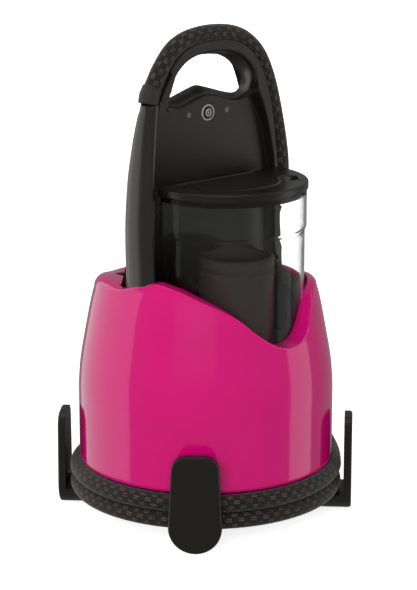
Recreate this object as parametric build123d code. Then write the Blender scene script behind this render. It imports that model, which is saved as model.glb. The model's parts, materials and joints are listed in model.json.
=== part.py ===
"""Garment steamer: a round steam base with a lift-out water tank, a carrying arch,
a textile hose wound round the foot and a steam head parked on the back.

Row frame in millimetres: +Z up, front towards -Y, origin on the floor under the
middle of the base. Angles round the base are counted from the front towards +X.
"""
from build123d import *
import os
from math import cos, pi, radians, sin, tan

os.makedirs("parts", exist_ok=True)

# ---- driving dimensions ------------------------------------------------------
BODY_R = 112.0            # outer radius of the coloured shell
SHELL_T = 3.0             # wall of the coloured shell
SKIRT_Z = 48.0            # lower edge of the shell
DECK_Z = 211.0            # top of the shell's shoulder
TRAY_R = 104.0            # outer radius of the base tray's wall
FOOT_H = 4.0              # height of the rubber feet

HOSE_D = 15.0             # outside diameter of the textile hose
HOSE_R = HOSE_D / 2
COIL_R = 113.0            # radius of the wound turns, at their middle
COIL_LOW_Z = 24.5         # middle of the lower turn
COIL_HIGH_Z = COIL_LOW_Z + HOSE_D

HOOK_PLATE_R = 123.0      # inner face of the hooks' upright plates
HOOK_T = 7.0
HOOK_H = 86.0
HOOK_TOP_W = 41.0
HOOK_LOW_W = 45.5
HOOK_ARM_Z = COIL_LOW_Z - HOSE_R
HOOK_ANGLES = {"front_left": -45, "front_right": 45, "back_left": -135, "back_right": 135}

TOWER_Y0, TOWER_Y1 = -12.0, 16.0      # front and back planes of the carrying arch
TOWER_FOOT_Z = 200.0
TOWER_TOP_Z = 422.0
PANEL_Y0, PANEL_Y1 = -3.0, -0.5       # recessed control panel
RECESS_TOP_Z = 362.0
HAND_HOLE_W = 76.0
HAND_HOLE_Z = (370.0, 404.0)

TANK_C = (0.0, -27.0)     # middle of the tank's round wall, in plan
TANK_BACK_Y = -15.6       # flat back of the tank
TANK_R_TOP = 69.0
TANK_R_LOW = 67.5
TANK_STEP_Z = 260.0
TANK_Z = (135.0, 293.0)
TANK_T = 2.5
LID_Z1 = 300.0
LID_R = 70.3
LID_BACK_Y = -16.0
FLAP_HINGE_Y = -21.5      # hinge of the filler flap
FLAP_Z0 = 296.6
HINGE_PIN_R = 1.0
HINGE_Z = 298.2
DIMPLE = (39.0, -60.0)    # finger dimple beside the flap
FILLER_C = (-6.0, -46.0)  # filler mouth under the flap
FILTER_C = (-10.0, -51.5)
VALVE_C = (38.0, -42.0)   # outlet valve in the tank's floor, in plan

BUTTON_Z = 354.0          # middle of the power button
BUTTON_R = 5.6
LENS_X = 21.5

COLLAR_R = 9.6            # rubber collar between riser and hose
WAND_ANGLE = 142.0        # where the steam head is parked, from the front
WAND_R = 146.0            # distance of its axis from the middle of the base
GAP = 0.3                 # usual clearance between neighbouring mouldings


# ---- small helpers -----------------------------------------------------------
def save(name, shape):
    """One file per named piece."""
    export_step(shape, f"parts/{name}.step")


def disc(radius, z0, z1, x=0.0, y=0.0):
    return Pos(x, y, (z0 + z1) / 2) * Cylinder(radius, z1 - z0)


def ring(r_out, r_in, z0, z1, x=0.0, y=0.0):
    return disc(r_out, z0, z1, x, y) - disc(r_in, z0 - 1, z1 + 1, x, y)


def block(x0, x1, y0, y1, z0, z1):
    centre = ((x0 + x1) / 2, (y0 + y1) / 2, (z0 + z1) / 2)
    return Pos(*centre) * Box(x1 - x0, y1 - y0, z1 - z0)


def bar_y(radius, y0, y1, x, z):
    """A round bar lying along Y."""
    return Pos(x, (y0 + y1) / 2, z) * Rot(90, 0, 0) * Cylinder(radius, y1 - y0)


def front_profile(edges, y0, y1):
    """Face drawn in the XZ plane and pushed from y0 to y1."""
    face = Plane.XZ * make_face(edges)
    return Pos(0, y1, 0) * extrude(face, y1 - y0)


def turned(theta, shape):
    """Turn a shape built at the front to its place round the base."""
    return Rot(0, 0, theta) * shape


def polar(theta, rho, z):
    """Point at an angle from the front, a distance from the axis and a height."""
    return (rho * sin(radians(theta)), -rho * cos(radians(theta)), z)


# ---- coloured shell ------------------------------------------------------------
def bell(inset, top_z):
    """Bell-shaped solid whose wall lies `inset` inside the outer surface."""
    r = [BODY_R - inset, 106.5 - inset, 100.0 - inset, 96.5 - inset]
    wall = Spline((r[0], 118), (r[1], 158), (r[2], 192), (r[3], 203), tangents=((0, 1), (-0.35, 1)))
    shoulder = ThreePointArc((r[3], 203), (r[3] - 2.6, 208 - inset * 0.6), (r[3] - 9, top_z))
    outline = [
        Line((0, SKIRT_Z), (r[0], SKIRT_Z)),
        Line((r[0], SKIRT_Z), (r[0], 118)),
        wall,
        shoulder,
        Line((r[3] - 9, top_z), (0, top_z)),
        Line((0, top_z), (0, SKIRT_Z)),
    ]
    return revolve(Plane.XZ * make_face(outline), Axis.Z)


def dip_cutter(drop):
    """What is cut from the front of the rim so that the tank shows and lifts out."""
    rim = [(-76, 216), (-66, 212), (-45, 198.5), (-26, 180.5), (-8, 168.5), (8, 165.5),
           (30, 176), (44, 196), (64, 207.5), (76, 216)]
    points = [(x, z - drop) for x, z in rim]
    edges = Curve() + [Spline(points), Polyline(points[-1], (76, 260), (-76, 260), points[0])]
    return front_profile(edges, -130, TOWER_Y0 - 2)


def body_shell():
    shell = bell(0, DECK_Z) - Pos(0, 0, -SHELL_T) * bell(SHELL_T, DECK_Z)
    shell -= block(-BODY_R, BODY_R, -BODY_R, BODY_R, SKIRT_Z - SHELL_T - 1, SKIRT_Z + 0.01)
    shell -= disc(84, 190, 240)
    shell -= block(-90, 87, -29, 18, 198, 240)
    shell -= dip_cutter(0)
    shell -= tank_plug(-2, 190, 300)
    shell -= block(-44, -16, 90, 130, 84, 106)           # mouth of the mains inlet
    return shell


# ---- base ----------------------------------------------------------------------
SCREW_R = 1.6
BASE_SCREWS = [polar(theta, 60, 0)[:2] for theta in (30, 150, 270)]


def tray_core(inset, z1):
    """Solid of the base tray: its underside rises outwards, so it hides above the wound hose."""
    outline = Polyline((0, 6 + inset), (72 - inset / 4, 6 + inset), (95 - inset / 2, 12 + inset),
                       (TRAY_R - inset, 17 + inset / 2), (TRAY_R - inset, z1), (0, z1), (0, 6 + inset))
    return revolve(Plane.XZ * make_face(outline), Axis.Z)


def base_tray():
    tray = tray_core(0, 51) - tray_core(3, 52)
    tray += ring(BODY_R - SHELL_T - GAP, TRAY_R - 3, 48.2, 51)
    for x, y in BASE_SCREWS:
        tray += disc(5, 8, 30, x, y)
        tray -= disc(SCREW_R + 0.05, 0, 40, x, y)
    return tray


def bottom_plate():
    plate = disc(68, FOOT_H, 5.8)
    for x, y in BASE_SCREWS:
        plate -= disc(SCREW_R + 0.3, 0, 10, x, y)
    return plate


def rubber_feet():
    pads = [disc(8, 0, FOOT_H, *polar(theta, 56, 0)[:2]) for theta in (45, 135, 225, 315)]
    return Compound(pads + [disc(12, 0, FOOT_H)])


def base_screws():
    return Compound([disc(2 * SCREW_R, 2.2, FOOT_H, x, y) + disc(SCREW_R, FOOT_H, 18, x, y)
                     for x, y in BASE_SCREWS])


def hook(theta):
    """Cord hook: an upright stadium plate on an arm that runs under the wound hose."""
    half_low = HOOK_LOW_W / 2
    half_top = HOOK_TOP_W / 2
    corner = 13.0
    side = half_top - 0.2
    outline = Curve() + [
        ThreePointArc((-half_low, half_low), (0, 0), (half_low, half_low)),
        Line((half_low, half_low), (side, HOOK_H - corner)),
        ThreePointArc((side, HOOK_H - corner), (side - corner * 0.29, HOOK_H - corner * 0.29),
                      (side - corner, HOOK_H)),
        Line((side - corner, HOOK_H), (corner - side, HOOK_H)),
        ThreePointArc((corner - side, HOOK_H), (corner * 0.29 - side, HOOK_H - corner * 0.29),
                      (-side, HOOK_H - corner)),
        Line((-side, HOOK_H - corner), (-half_low, half_low)),
    ]
    plate = front_profile(outline, -HOOK_PLATE_R - HOOK_T, -HOOK_PLATE_R)
    plate = fillet(plate.faces().sort_by(Axis.Y)[0].edges(), 2.4)
    arm = front_profile(outline, -HOOK_PLATE_R - 0.5, -88) & block(-30, 30, -140, -80, -1, HOOK_ARM_Z)
    arm -= tray_core(0, 51)
    return turned(theta, plate + arm)


# ---- tank bay --------------------------------------------------------------------
def bay_core(wall_r, rim_r):
    """Solid bay plug: straight wall that leans in towards the rim."""
    outline = Polyline((0, 128), (wall_r, 128), (wall_r, 158), (rim_r + 6.5, 188), (rim_r + 3, 199),
                       (rim_r, 205), (0, 205), (0, 128))
    return revolve(Plane.XZ * make_face(outline), Axis.Z)


def bay_liner():
    front = block(-110, 110, -110, -3.6, 120, 230)
    cup = (bay_core(99.5, 87.5) - Pos(0, 0, 3) * bay_core(97.3, 84.5)) & front
    wall = block(-100, 100, -6, -3.6, 128, 199.5) & bay_core(99.4, 87.4)
    liner = cup + wall
    liner -= dip_cutter(2)
    side_dip = Plane.YZ * make_face(Polyline((-6, 206), (-24, 199), (-31, 192), (-70, 186), (-70, 230),
                                             (-6, 230), (-6, 206)))
    liner -= Pos(60, 0, 0) * extrude(side_dip, 60)
    liner -= loft(riser_sections(GAP))
    liner -= tank_plug(-1.5, 150, 300)
    for x in (-40, 40):
        liner += block(x - 3, x + 3, -75, -35, 130.5, 134.8)
    liner -= disc(9.2, 120, 140, *VALVE_C)
    return liner


def rear_deck():
    return disc(86.2, 198.5, 201.5) & block(-100, 100, TOWER_Y1 + GAP, 100, 195, 210)


# ---- carrying arch ------------------------------------------------------------------
def arch_outline():
    right = [(84, TOWER_FOOT_Z), (80, 250), (75.2, 300), (66, 362), (54, 395.5), (33, 414.5),
             (0, TOWER_TOP_Z)]
    left = [(-x, z) for x, z in reversed(right[:-1])]
    return Curve() + [Spline(right + left), Line(left[-1], right[0])]


def recess_outline(grow):
    """Opening between the legs that the control panel and the back cover close."""
    foot, top = TOWER_FOOT_Z - 1, RECESS_TOP_Z + grow
    side = [(73 + grow, foot), (69.5 + grow, 300), (56 + grow, RECESS_TOP_Z - 4)]
    mirrored = [(-x, z) for x, z in reversed(side)]
    return Curve() + [
        Spline(side),
        Polyline(side[-1], (44, top), (-44, top), mirrored[0]),
        Spline(mirrored),
        Line(mirrored[-1], side[0]),
    ]


def hand_hole():
    half = HAND_HOLE_W / 2
    low, top = HAND_HOLE_Z
    return Curve() + [
        ThreePointArc((-half + 4, low + 2), (-half * 0.72, 395), (0, top)),
        ThreePointArc((0, top), (half * 0.72, 395), (half - 4, low + 2)),
        Line((half - 4, low + 2), (-half + 4, low + 2)),
    ]


def riser_sections(grow):
    """Oval sections of the steam riser, from inside the body up to its collar."""
    rows = [
        (131.3, -79.0, -14.0, 7.5, 13.5),
        (211, -81.0, -11.5, 8.2, 16.5),
        (259, -82.0, -11.0, 8.2, 16.0),
        (300, -79.8, -10.3, 8.0, 15.0),
        (333, -75.3, -9.0, 7.6, 13.0),
        (357, -70.3, -7.4, 7.4, 10.5),
        (369, -66.8, -6.3, 7.2, 8.5),
    ]
    return [Pos(x, y, z) * Ellipse(a + grow, b + grow) for z, x, y, a, b in rows]


def riser_tube():
    return loft(riser_sections(0)) - loft(riser_sections(-2.4))


def tower_frame():
    frame = front_profile(arch_outline(), TOWER_Y0, TOWER_Y1)
    frame -= front_profile(recess_outline(0), TOWER_Y0 - 1, TOWER_Y1 + 1)
    frame -= front_profile(hand_hole(), TOWER_Y0 - 1, TOWER_Y1 + 1)
    for side in (-1, 1):
        frame += block(min(62 * side, 80 * side), max(62 * side, 80 * side), -3.3, TOWER_Y1, 150, 201)
    frame -= loft(riser_sections(GAP))
    frame -= collar_axis() * Cylinder(COLLAR_R + GAP, 60)
    frame -= hose_tube(HOSE_ARCH, HOSE_R + 0.2)
    return frame


BELOW_PANEL = block(-100, 100, -20, 30, 190, TOWER_FOOT_Z + 1 + GAP)


def control_panel():
    panel = front_profile(recess_outline(-GAP), PANEL_Y0, PANEL_Y1) - BELOW_PANEL
    panel -= bar_y(7.0, -10, 5, 0, BUTTON_Z)
    for x in (-LENS_X, LENS_X):
        panel -= bar_y(2.5, -10, 5, x, BUTTON_Z)
    return panel


def tower_back_cover():
    cover = front_profile(recess_outline(-GAP), TOWER_Y1 - 2.5, TOWER_Y1) - BELOW_PANEL
    for x, z in TOWER_SCREWS:
        cover -= bar_y(1.8, 10, 20, x, z)
    return cover


TOWER_SCREWS = [(-52, 330), (52, 330), (-60, 222), (60, 222)]


def tower_screws():
    return Compound([bar_y(1.75, 1.4, TOWER_Y1, x, z) + bar_y(3.4, TOWER_Y1, TOWER_Y1 + 2, x, z)
                     for x, z in TOWER_SCREWS])


def power_button():
    cap = bar_y(BUTTON_R, PANEL_Y0 - 1.2, PANEL_Y1 + 0.6, 0, BUTTON_Z)
    cap = fillet(cap.edges().sort_by(Axis.Y)[0], 0.6)
    return cap + bar_y(1.8, 0, 1.5, 0, BUTTON_Z)


def button_light_ring():
    return bar_y(7.0, PANEL_Y0 - 0.5, PANEL_Y1, 0, BUTTON_Z) - bar_y(BUTTON_R + 0.08, -10, 5, 0, BUTTON_Z)


def indicator_lens(x):
    return bar_y(2.5, PANEL_Y0 - 0.3, PANEL_Y1 + 0.8, x, BUTTON_Z)


def control_board():
    board = block(-34, 34, 4.6, 6.2, 338, 361)
    for x in (-LENS_X, LENS_X):
        board += block(x - 2.2, x + 2.2, 1.0, 4.6, BUTTON_Z - 2.2, BUTTON_Z + 2.2)
    return board


def button_switch():
    return block(-3, 3, 2.7, 4.6, BUTTON_Z - 3, BUTTON_Z + 3)


# ---- water tank ---------------------------------------------------------------------
def tank_plug(inset, z0, z1):
    """Solid D-shaped tank volume, a step wider above the step line."""
    x, y = TANK_C
    plug = disc(TANK_R_LOW - inset, z0, TANK_STEP_Z - inset * 0.4, x, y)
    plug += disc(TANK_R_TOP - inset, TANK_STEP_Z - inset * 0.4, z1, x, y)
    plug &= block(-90, 90, -120, TANK_BACK_Y - inset, z0, z1)
    return plug - riser_corner(inset, z0, z1)


def riser_corner(inset, z0, z1):
    """Bevelled back left corner of tank and lid, which rises past the riser and its collar."""
    corner = Polyline((-62.2 + inset, -13), (-71.2 + inset, -22), (-90, -22), (-90, -13), (-62.2 + inset, -13))
    return Pos(0, 0, z0 - 1) * extrude(make_face(corner), z1 - z0 + 2)


def water_tank():
    tank = tank_plug(0, *TANK_Z) - tank_plug(TANK_T, TANK_Z[0] + TANK_T, TANK_Z[1] + 1)
    return tank - disc(4.1, 130, 140, *VALVE_C)


def flap_outline(grow):
    """Plan of the filler flap: straight hinge side, curved front, scooped right corner."""
    back = FLAP_HINGE_Y - 2 + grow
    front = [(-46 - grow, -58), (-32, -66.5 - grow), (-8, -73.5 - grow), (14, -71 - grow),
             (27 + grow, -61), (34 + grow, -48)]
    return Curve() + [
        Line((36 + grow, back), (-46 - grow, back)),
        Line((-46 - grow, back), front[0]),
        Spline(front),
        Line(front[-1], (36 + grow, back)),
    ]


def tank_lid():
    lid = disc(LID_R, TANK_Z[1], LID_Z1, *TANK_C) & block(-90, 90, -120, LID_BACK_Y, 280, 310)
    lid -= riser_corner(0, 280, 310)
    rim = ring(TANK_R_TOP - TANK_T - GAP, TANK_R_TOP - TANK_T - GAP - 2, 288, 293.5, *TANK_C)
    lid += rim & block(-90, 90, -120, TANK_BACK_Y - TANK_T - 1, 280, 310)
    lid -= Pos(0, 0, FLAP_Z0 - GAP) * extrude(make_face(flap_outline(GAP)), 10)
    lid -= disc(24, 280, 310, *FILLER_C)
    lid -= Pos(*DIMPLE, LID_Z1 + 5) * Sphere(11.5)
    lid -= block(-50, 40, FLAP_HINGE_Y - 2.6, FLAP_HINGE_Y + 2.8, FLAP_Z0 - GAP, 310)
    for x in (-44, 34):
        knuckle = block(x - 4, x + 4, FLAP_HINGE_Y - 2.2, FLAP_HINGE_Y + 2.8, FLAP_Z0 - 2, LID_Z1)
        lid += knuckle - hinge_bar(HINGE_PIN_R, x - 5, x + 5)
    return lid


def hinge_bar(radius, x0, x1):
    return Pos((x0 + x1) / 2, FLAP_HINGE_Y, HINGE_Z) * Rot(0, 90, 0) * Cylinder(radius, x1 - x0)


def filler_flap():
    flap = Pos(0, 0, FLAP_Z0) * extrude(make_face(flap_outline(0)), LID_Z1 - FLAP_Z0)
    flap &= block(-60, 60, -90, FLAP_HINGE_Y - 3.0, 290, 310)
    flap += block(-38, 28, FLAP_HINGE_Y - 3.2, FLAP_HINGE_Y, FLAP_Z0, LID_Z1)
    flap += hinge_bar(1.7, -38, 28)
    return flap - hinge_bar(HINGE_PIN_R + 0.05, -60, 60)


def flap_hinge_pin():
    return hinge_bar(HINGE_PIN_R, -47.5, 37.5)


def filter_cartridge():
    x, y = FILTER_C
    body = disc(32, 138, 234, x, y)
    body += disc(30, 234, 240, x, y)
    return body - disc(24, 228, 245, x, y) - ring(20, 8, 130, 150, x, y)


def valve_cage():
    x, y = VALVE_C
    cage = ring(11, 9.5, TANK_Z[0] + TANK_T, 158, x, y) + disc(11, 158, 160, x, y)
    for theta in (0, 90):
        slot = Pos(x, y, 148) * Rot(0, 0, theta) * Box(30, 8, 14)
        cage -= slot
    return cage


def tank_valve():
    x, y = VALVE_C
    return disc(7.5, 137.6, 140, x, y) + disc(4.0, 134.2, 138, x, y) + disc(3, 140, 144, x, y)


def tank_valve_spring():
    return ring(6.2, 4.6, 140.1, 157.9, *VALVE_C)


def tank_seal():
    return ring(9.1, 5.0, 128, 134.7, *VALVE_C)


# ---- hose -----------------------------------------------------------------------------
# Route of the textile hose, from inside its collar over the arch, down behind the right
# leg, over the shell's shoulder and round the foot, then up to the parked steam head.
HOSE_ARCH = [
    (-67, -5.8, 376), (-51, -5.5, 407), (-24, -5.5, 422.5), (24, -5.5, 422.5), (51, -5.5, 407),
    (66, -5.5, 380), (77, -5.5, 338), (84, -5.5, 300), (87, 0, 266), (90, 18, 240),
    (96, 41, 224), (106, 58, 203), (112, 65.5, 174), polar(119, 129, 140), polar(112.5, 126.5, 108),
    polar(102.5, 124.5, 81), polar(90.5, 123.5, 61), polar(77.5, 121.5, 46.5), polar(65, 118, 40),
    polar(53, 114, 39.5),
]
HOSE_TAIL = [
    polar(221, 113, 24.5), polar(208, 116.5, 24.5), polar(194, 124, 27), polar(180, 133, 35),
    polar(167, 141, 46), polar(155.4, 146, 60), polar(146.7, 147, 83), polar(142, 146, 112),
    polar(142, 146, 142),
]


def hose_path(points):
    """Straight runs joined by the largest tangent arcs that the runs allow."""
    pts = [Vector(*p) for p in points]
    radii = []
    for before, here, after in zip(pts, pts[1:], pts[2:]):
        into, out = here - before, after - here
        turn = radians(into.get_angle(out))
        radii.append(0.45 * min(into.length, out.length) / tan(turn / 2))
    return FilletPolyline(*pts, radius=radii), radii


def hose_tube(points, radius):
    path, _ = hose_path(points)
    path = Wire(path.edges())
    section = Plane(origin=path @ 0, z_dir=path % 0) * Circle(radius)
    return sweep(section, path=path)


def report_hose(name, points):
    path, radii = hose_path(points)
    length = Wire(path.edges()).length
    volume = hose_tube(points, HOSE_R).volume
    print(name, "radii", [round(r) for r in radii], "length", round(length),
          "volume ratio", round(volume / (pi * HOSE_R ** 2 * length), 4))


def hose_coil():
    section = Plane.XZ * Pos(COIL_R, (COIL_LOW_Z + COIL_HIGH_Z) / 2) * \
        RectangleRounded(HOSE_D, 2 * HOSE_D, HOSE_R - 0.05)
    return revolve(section, Axis.Z)


def collar_axis():
    """Placement whose Z runs along the hose where it enters the riser."""
    start, after = Vector(*HOSE_ARCH[0]), Vector(*HOSE_ARCH[1])
    return Location(Plane(origin=start, z_dir=(after - start).normalized()))


def riser_collar():
    collar = collar_axis() * Pos(0, 0, 2.5) * Cylinder(COLLAR_R, 21)
    collar -= collar_axis() * Pos(0, 0, 10) * Cylinder(HOSE_R + 0.05, 20)
    return collar - loft(riser_sections(0.05))


# ---- parked steam head ------------------------------------------------------------------
def wand(shape):
    """Place a piece of the steam head, built with its face towards -Y, at its parking spot."""
    x, y, _ = polar(WAND_ANGLE, WAND_R, 0)
    return Pos(x, y, 0) * Rot(0, 0, WAND_ANGLE) * shape


HANDLE_Z = (172.0, 282.0)


def handle_solid(grow, z0, z1):
    rows = [(z0, 12.0), (217, 16.0), (z1, 16.5)]
    profile = Polyline((0, z0), (rows[0][1] + grow, z0), (rows[1][1] + grow, rows[1][0]),
                       (rows[2][1] + grow, z1), (0, z1), (0, z0))
    return revolve(Plane.XZ * make_face(profile), Axis.Z)


TRIGGER_Z = (226.0, 262.0)
TRIGGER_PIN = (-12.6, 258.0)          # depth and height of the trigger's pivot
TRIGGER_PIN_R = 1.5


def trigger_pin(radius, reach):
    """Bar on the trigger's pivot, reaching this far to each side."""
    y, z = TRIGGER_PIN
    return Pos(0, y, z) * Rot(0, 90, 0) * Cylinder(radius, 2 * reach)


def head_handle():
    handle = handle_solid(0, *HANDLE_Z) - disc(9, HANDLE_Z[0] - 1, HANDLE_Z[1] + 1)
    handle -= block(-6.2, 6.2, -20, 0, TRIGGER_Z[0] - 1, TRIGGER_Z[1] + 1)
    return wand(handle - trigger_pin(TRIGGER_PIN_R + 0.05, 9))


def steam_trigger():
    """Thumb trigger that rocks about its upper pivot."""
    trigger = block(-5.8, 5.8, -18.5, -12, *TRIGGER_Z)
    trigger = fillet(trigger.faces().sort_by(Axis.Y)[0].edges(), 1.8)
    return wand(trigger + trigger_pin(2.4, 5.8) + trigger_pin(TRIGGER_PIN_R, 8.5))


def head_shell():
    shell = Pos(0, -4, 301) * Box(78, 38, 38)
    shell = fillet(shell.edges().filter_by(Axis.Y), 12)
    shell = fillet(shell.faces().sort_by(Axis.Y)[-1].edges(), 5)
    cavity = Pos(0, -8, 301) * Box(72, 36, 32)
    cavity = fillet(cavity.edges().filter_by(Axis.Y), 9)
    return wand(shell - cavity - disc(4.3, 280, 290))


def steam_plate():
    plate = Pos(0, -24.5, 301) * Box(71.4, 3, 31.4)
    plate = fillet(plate.edges().filter_by(Axis.Y), 8.6)
    plate = fillet(plate.faces().sort_by(Axis.Y)[0].edges(), 1.0)
    for row in range(2):
        for column in range(7):
            plate -= bar_y(1.5, -30, -20, -24 + 8 * column, 295 + 12 * row)
    return wand(plate)


def head_valve():
    return wand(disc(6.5, 230, 262) + disc(4, 262, 290))


def hose_sleeve():
    """Tapered strain relief between the hose and the handle, plugged into the handle's bore."""
    foot = HANDLE_Z[0]
    taper = Polyline((0, foot - 30), (HOSE_R + 1.2, foot - 30), (11.4, foot), (0, foot), (0, foot - 30))
    return wand(revolve(Plane.XZ * make_face(taper), Axis.Z) + disc(8.9, foot, foot + 14))


def holster():
    """C-shaped rest: its cone carries the handle, its mouth lets the hose slip out."""
    z0, z1 = 180.0, 206.0
    cup = disc(19.5, z0, z1) - handle_solid(0.35, *HANDLE_Z)
    cup -= block(-9.2, 9.2, -30, 0, z0 - 1, z1 + 1)
    web = block(-7, 7, 15, 60, 132, z1)
    foot = block(-16, 16, 30, 60, 126, 150)
    piece = wand(cup + web + foot) - bell(-0.2, DECK_Z)
    keep = wand(block(-30, 30, -30, 52, 100, 220))
    return (piece & keep) - wand(handle_solid(0.35, *HANDLE_Z))


# ---- inside the body ----------------------------------------------------------------------
BOILER_Y, BOILER_Z, BOILER_R = 5.0, 90.0, 33.0
PUMP_PORT_Y = -54.0


def boiler():
    shell = Pos(0, BOILER_Y, BOILER_Z) * Rot(0, 90, 0) * Cylinder(BOILER_R, 128)
    shell = fillet(shell.edges(), 9)
    cavity = Pos(0, BOILER_Y, BOILER_Z) * Rot(0, 90, 0) * Cylinder(BOILER_R - 2, 124)
    return shell - cavity - disc(2.0, 115, 130, 50, BOILER_Y) - disc(2.0, 115, 130, -50, BOILER_Y)


def heating_element():
    bars = [Pos(-5, BOILER_Y + y, BOILER_Z - 14) * Rot(0, 90, 0) * Cylinder(3.2, 80) for y in (-9, 9)]
    loop = Pos(35, BOILER_Y, BOILER_Z - 14) * (Cylinder(12.2, 6.4) - Cylinder(5.8, 8))
    return bars[0] + bars[1] + (loop & block(35, 70, -40, 40, 50, 100))


def boiler_bracket():
    feet = []
    for x in (-40, 40):
        saddle = block(x - 6, x + 6, BOILER_Y - 26, BOILER_Y + 26, 9, 78)
        saddle -= Pos(x, BOILER_Y, BOILER_Z) * Rot(0, 90, 0) * Cylinder(BOILER_R, 20)
        feet.append(saddle)
    return Compound(feet)


def water_pump():
    return block(-24, 24, -74, -34, 14, 60) + Pos(0, PUMP_PORT_Y, 60) * Cylinder(9, 30)


def pump_mounts():
    return Compound([disc(5, 9, 14, x, y) for x in (-16, 16) for y in (-64, -44)])


def small_pipe(points, radius, bend):
    """Pipe of straight runs and equal bends."""
    line = FilletPolyline(*[Vector(*p) for p in points], radius=bend)
    path = Wire(line.edges())
    return sweep(Plane(origin=path @ 0, z_dir=path % 0) * Circle(radius), path=path)


def feed_pipe():
    """From the bay's outlet down to the pump's inlet."""
    x, y = VALVE_C
    return small_pipe([(x, y, 127.9), (x, y, 112), (0, PUMP_PORT_Y, 98), (0, PUMP_PORT_Y, 75.2)], 3.5, 9)


def solenoid_valve():
    return block(-62, -38, 26, 54, 140, 172) + Pos(-50, 40, 172) * Cylinder(6, 30)


def steam_pipe():
    """From the top of the boiler up to the solenoid valve."""
    route = [(-50, BOILER_Y, 123.2), (-50, BOILER_Y, 131), (-50, 40, 131), (-50, 40, 139.9)]
    return small_pipe(route, 2.4, 5)


def thermostat():
    return disc(9, 123.1, 131, 20, BOILER_Y + 22) & block(0, 60, 0, 60, 123.1, 131)


def power_inlet():
    body = block(-43.7, -16.3, 84, 109.5, 84.3, 105.7)
    return body - block(-40, -20, 92, 120, 88, 102) + Compound(
        [block(x - 1, x + 1, 92, 106, 93, 97) for x in (-36, -30, -24)])


def main():
    """Build and save every piece."""
    pieces = {
        "body_shell": body_shell,
        "base_tray": base_tray,
        "bottom_plate": bottom_plate,
        "rubber_feet": rubber_feet,
        "base_screws": base_screws,
        "bay_liner": bay_liner,
        "rear_deck": rear_deck,
        "tower_frame": tower_frame,
        "tower_back_cover": tower_back_cover,
        "tower_screws": tower_screws,
        "control_panel": control_panel,
        "power_button": power_button,
        "button_light_ring": button_light_ring,
        "control_board": control_board,
        "button_switch": button_switch,
        "water_tank": water_tank,
        "tank_lid": tank_lid,
        "filler_flap": filler_flap,
        "flap_hinge_pin": flap_hinge_pin,
        "filter_cartridge": filter_cartridge,
        "valve_cage": valve_cage,
        "tank_valve": tank_valve,
        "tank_valve_spring": tank_valve_spring,
        "tank_seal": tank_seal,
        "riser_tube": riser_tube,
        "riser_collar": riser_collar,
        "hose_coil": hose_coil,
        "head_handle": head_handle,
        "steam_trigger": steam_trigger,
        "head_shell": head_shell,
        "steam_plate": steam_plate,
        "head_valve": head_valve,
        "hose_sleeve": hose_sleeve,
        "holster": holster,
        "boiler": boiler,
        "heating_element": heating_element,
        "boiler_bracket": boiler_bracket,
        "water_pump": water_pump,
        "pump_mounts": pump_mounts,
        "feed_pipe": feed_pipe,
        "solenoid_valve": solenoid_valve,
        "steam_pipe": steam_pipe,
        "thermostat": thermostat,
        "power_inlet": power_inlet,
    }
    for name, make in pieces.items():
        save(name, make())
    for place, theta in HOOK_ANGLES.items():
        save("hook_" + place, hook(theta))
    save("steam_indicator_lens", indicator_lens(-LENS_X))
    save("ready_indicator_lens", indicator_lens(LENS_X))
    save("hose_over_arch", hose_tube(HOSE_ARCH, HOSE_R))
    save("hose_tail", hose_tube(HOSE_TAIL, HOSE_R))
    report_hose("hose_over_arch", HOSE_ARCH)
    report_hose("hose_tail", HOSE_TAIL)


main()
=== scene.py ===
import json
from itertools import product
from math import asin, atan2, copysign, cos, exp, pi, radians, sin, sqrt, tau

import bpy
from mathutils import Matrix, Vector, kdtree


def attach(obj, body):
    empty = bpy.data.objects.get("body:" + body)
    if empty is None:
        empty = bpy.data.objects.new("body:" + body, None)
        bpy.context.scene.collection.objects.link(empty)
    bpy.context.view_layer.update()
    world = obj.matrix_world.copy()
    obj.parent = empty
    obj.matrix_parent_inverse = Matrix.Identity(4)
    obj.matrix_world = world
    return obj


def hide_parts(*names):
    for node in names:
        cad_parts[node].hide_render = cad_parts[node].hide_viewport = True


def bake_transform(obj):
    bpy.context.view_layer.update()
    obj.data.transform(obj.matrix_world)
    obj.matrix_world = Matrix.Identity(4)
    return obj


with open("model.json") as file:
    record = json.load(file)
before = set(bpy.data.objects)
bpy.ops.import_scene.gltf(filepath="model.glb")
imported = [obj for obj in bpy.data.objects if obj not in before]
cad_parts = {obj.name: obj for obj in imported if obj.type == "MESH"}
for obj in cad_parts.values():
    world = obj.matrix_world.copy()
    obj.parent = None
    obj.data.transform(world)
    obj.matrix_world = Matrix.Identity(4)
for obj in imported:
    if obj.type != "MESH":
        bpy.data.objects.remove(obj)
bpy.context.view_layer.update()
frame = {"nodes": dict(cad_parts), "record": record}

MM = 0.001


# ---- camera, floor and light -----------------------------------------------------------
def look_from(azimuth, pitch, location, lens):
    data = bpy.data.cameras.new("camera")
    data.lens = lens
    camera = bpy.data.objects.new("camera", data)
    bpy.context.collection.objects.link(camera)
    camera.location = location
    camera.rotation_euler = (radians(90 - pitch), 0, radians(azimuth))
    bpy.context.scene.camera = camera


VIEW_TURN = 41            # degrees that the camera stands to the left of the front
look_from(-VIEW_TURN, 14.7, (-1.2361, -1.4258, 0.687), 136.07)


def emitter(name, centre, target, size_x, size_y, power):
    """Rectangular softbox turned towards its target."""
    data = bpy.data.lights.new(name, "AREA")
    data.shape = "RECTANGLE"
    data.size = size_x
    data.size_y = size_y
    data.energy = power
    lamp = bpy.data.objects.new(name, data)
    bpy.context.collection.objects.link(lamp)
    lamp.location = centre
    lamp.visible_transmission = False
    lamp.rotation_euler = (Vector(target) - Vector(centre)).to_track_quat("-Z", "Y").to_euler()
    return lamp


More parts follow.
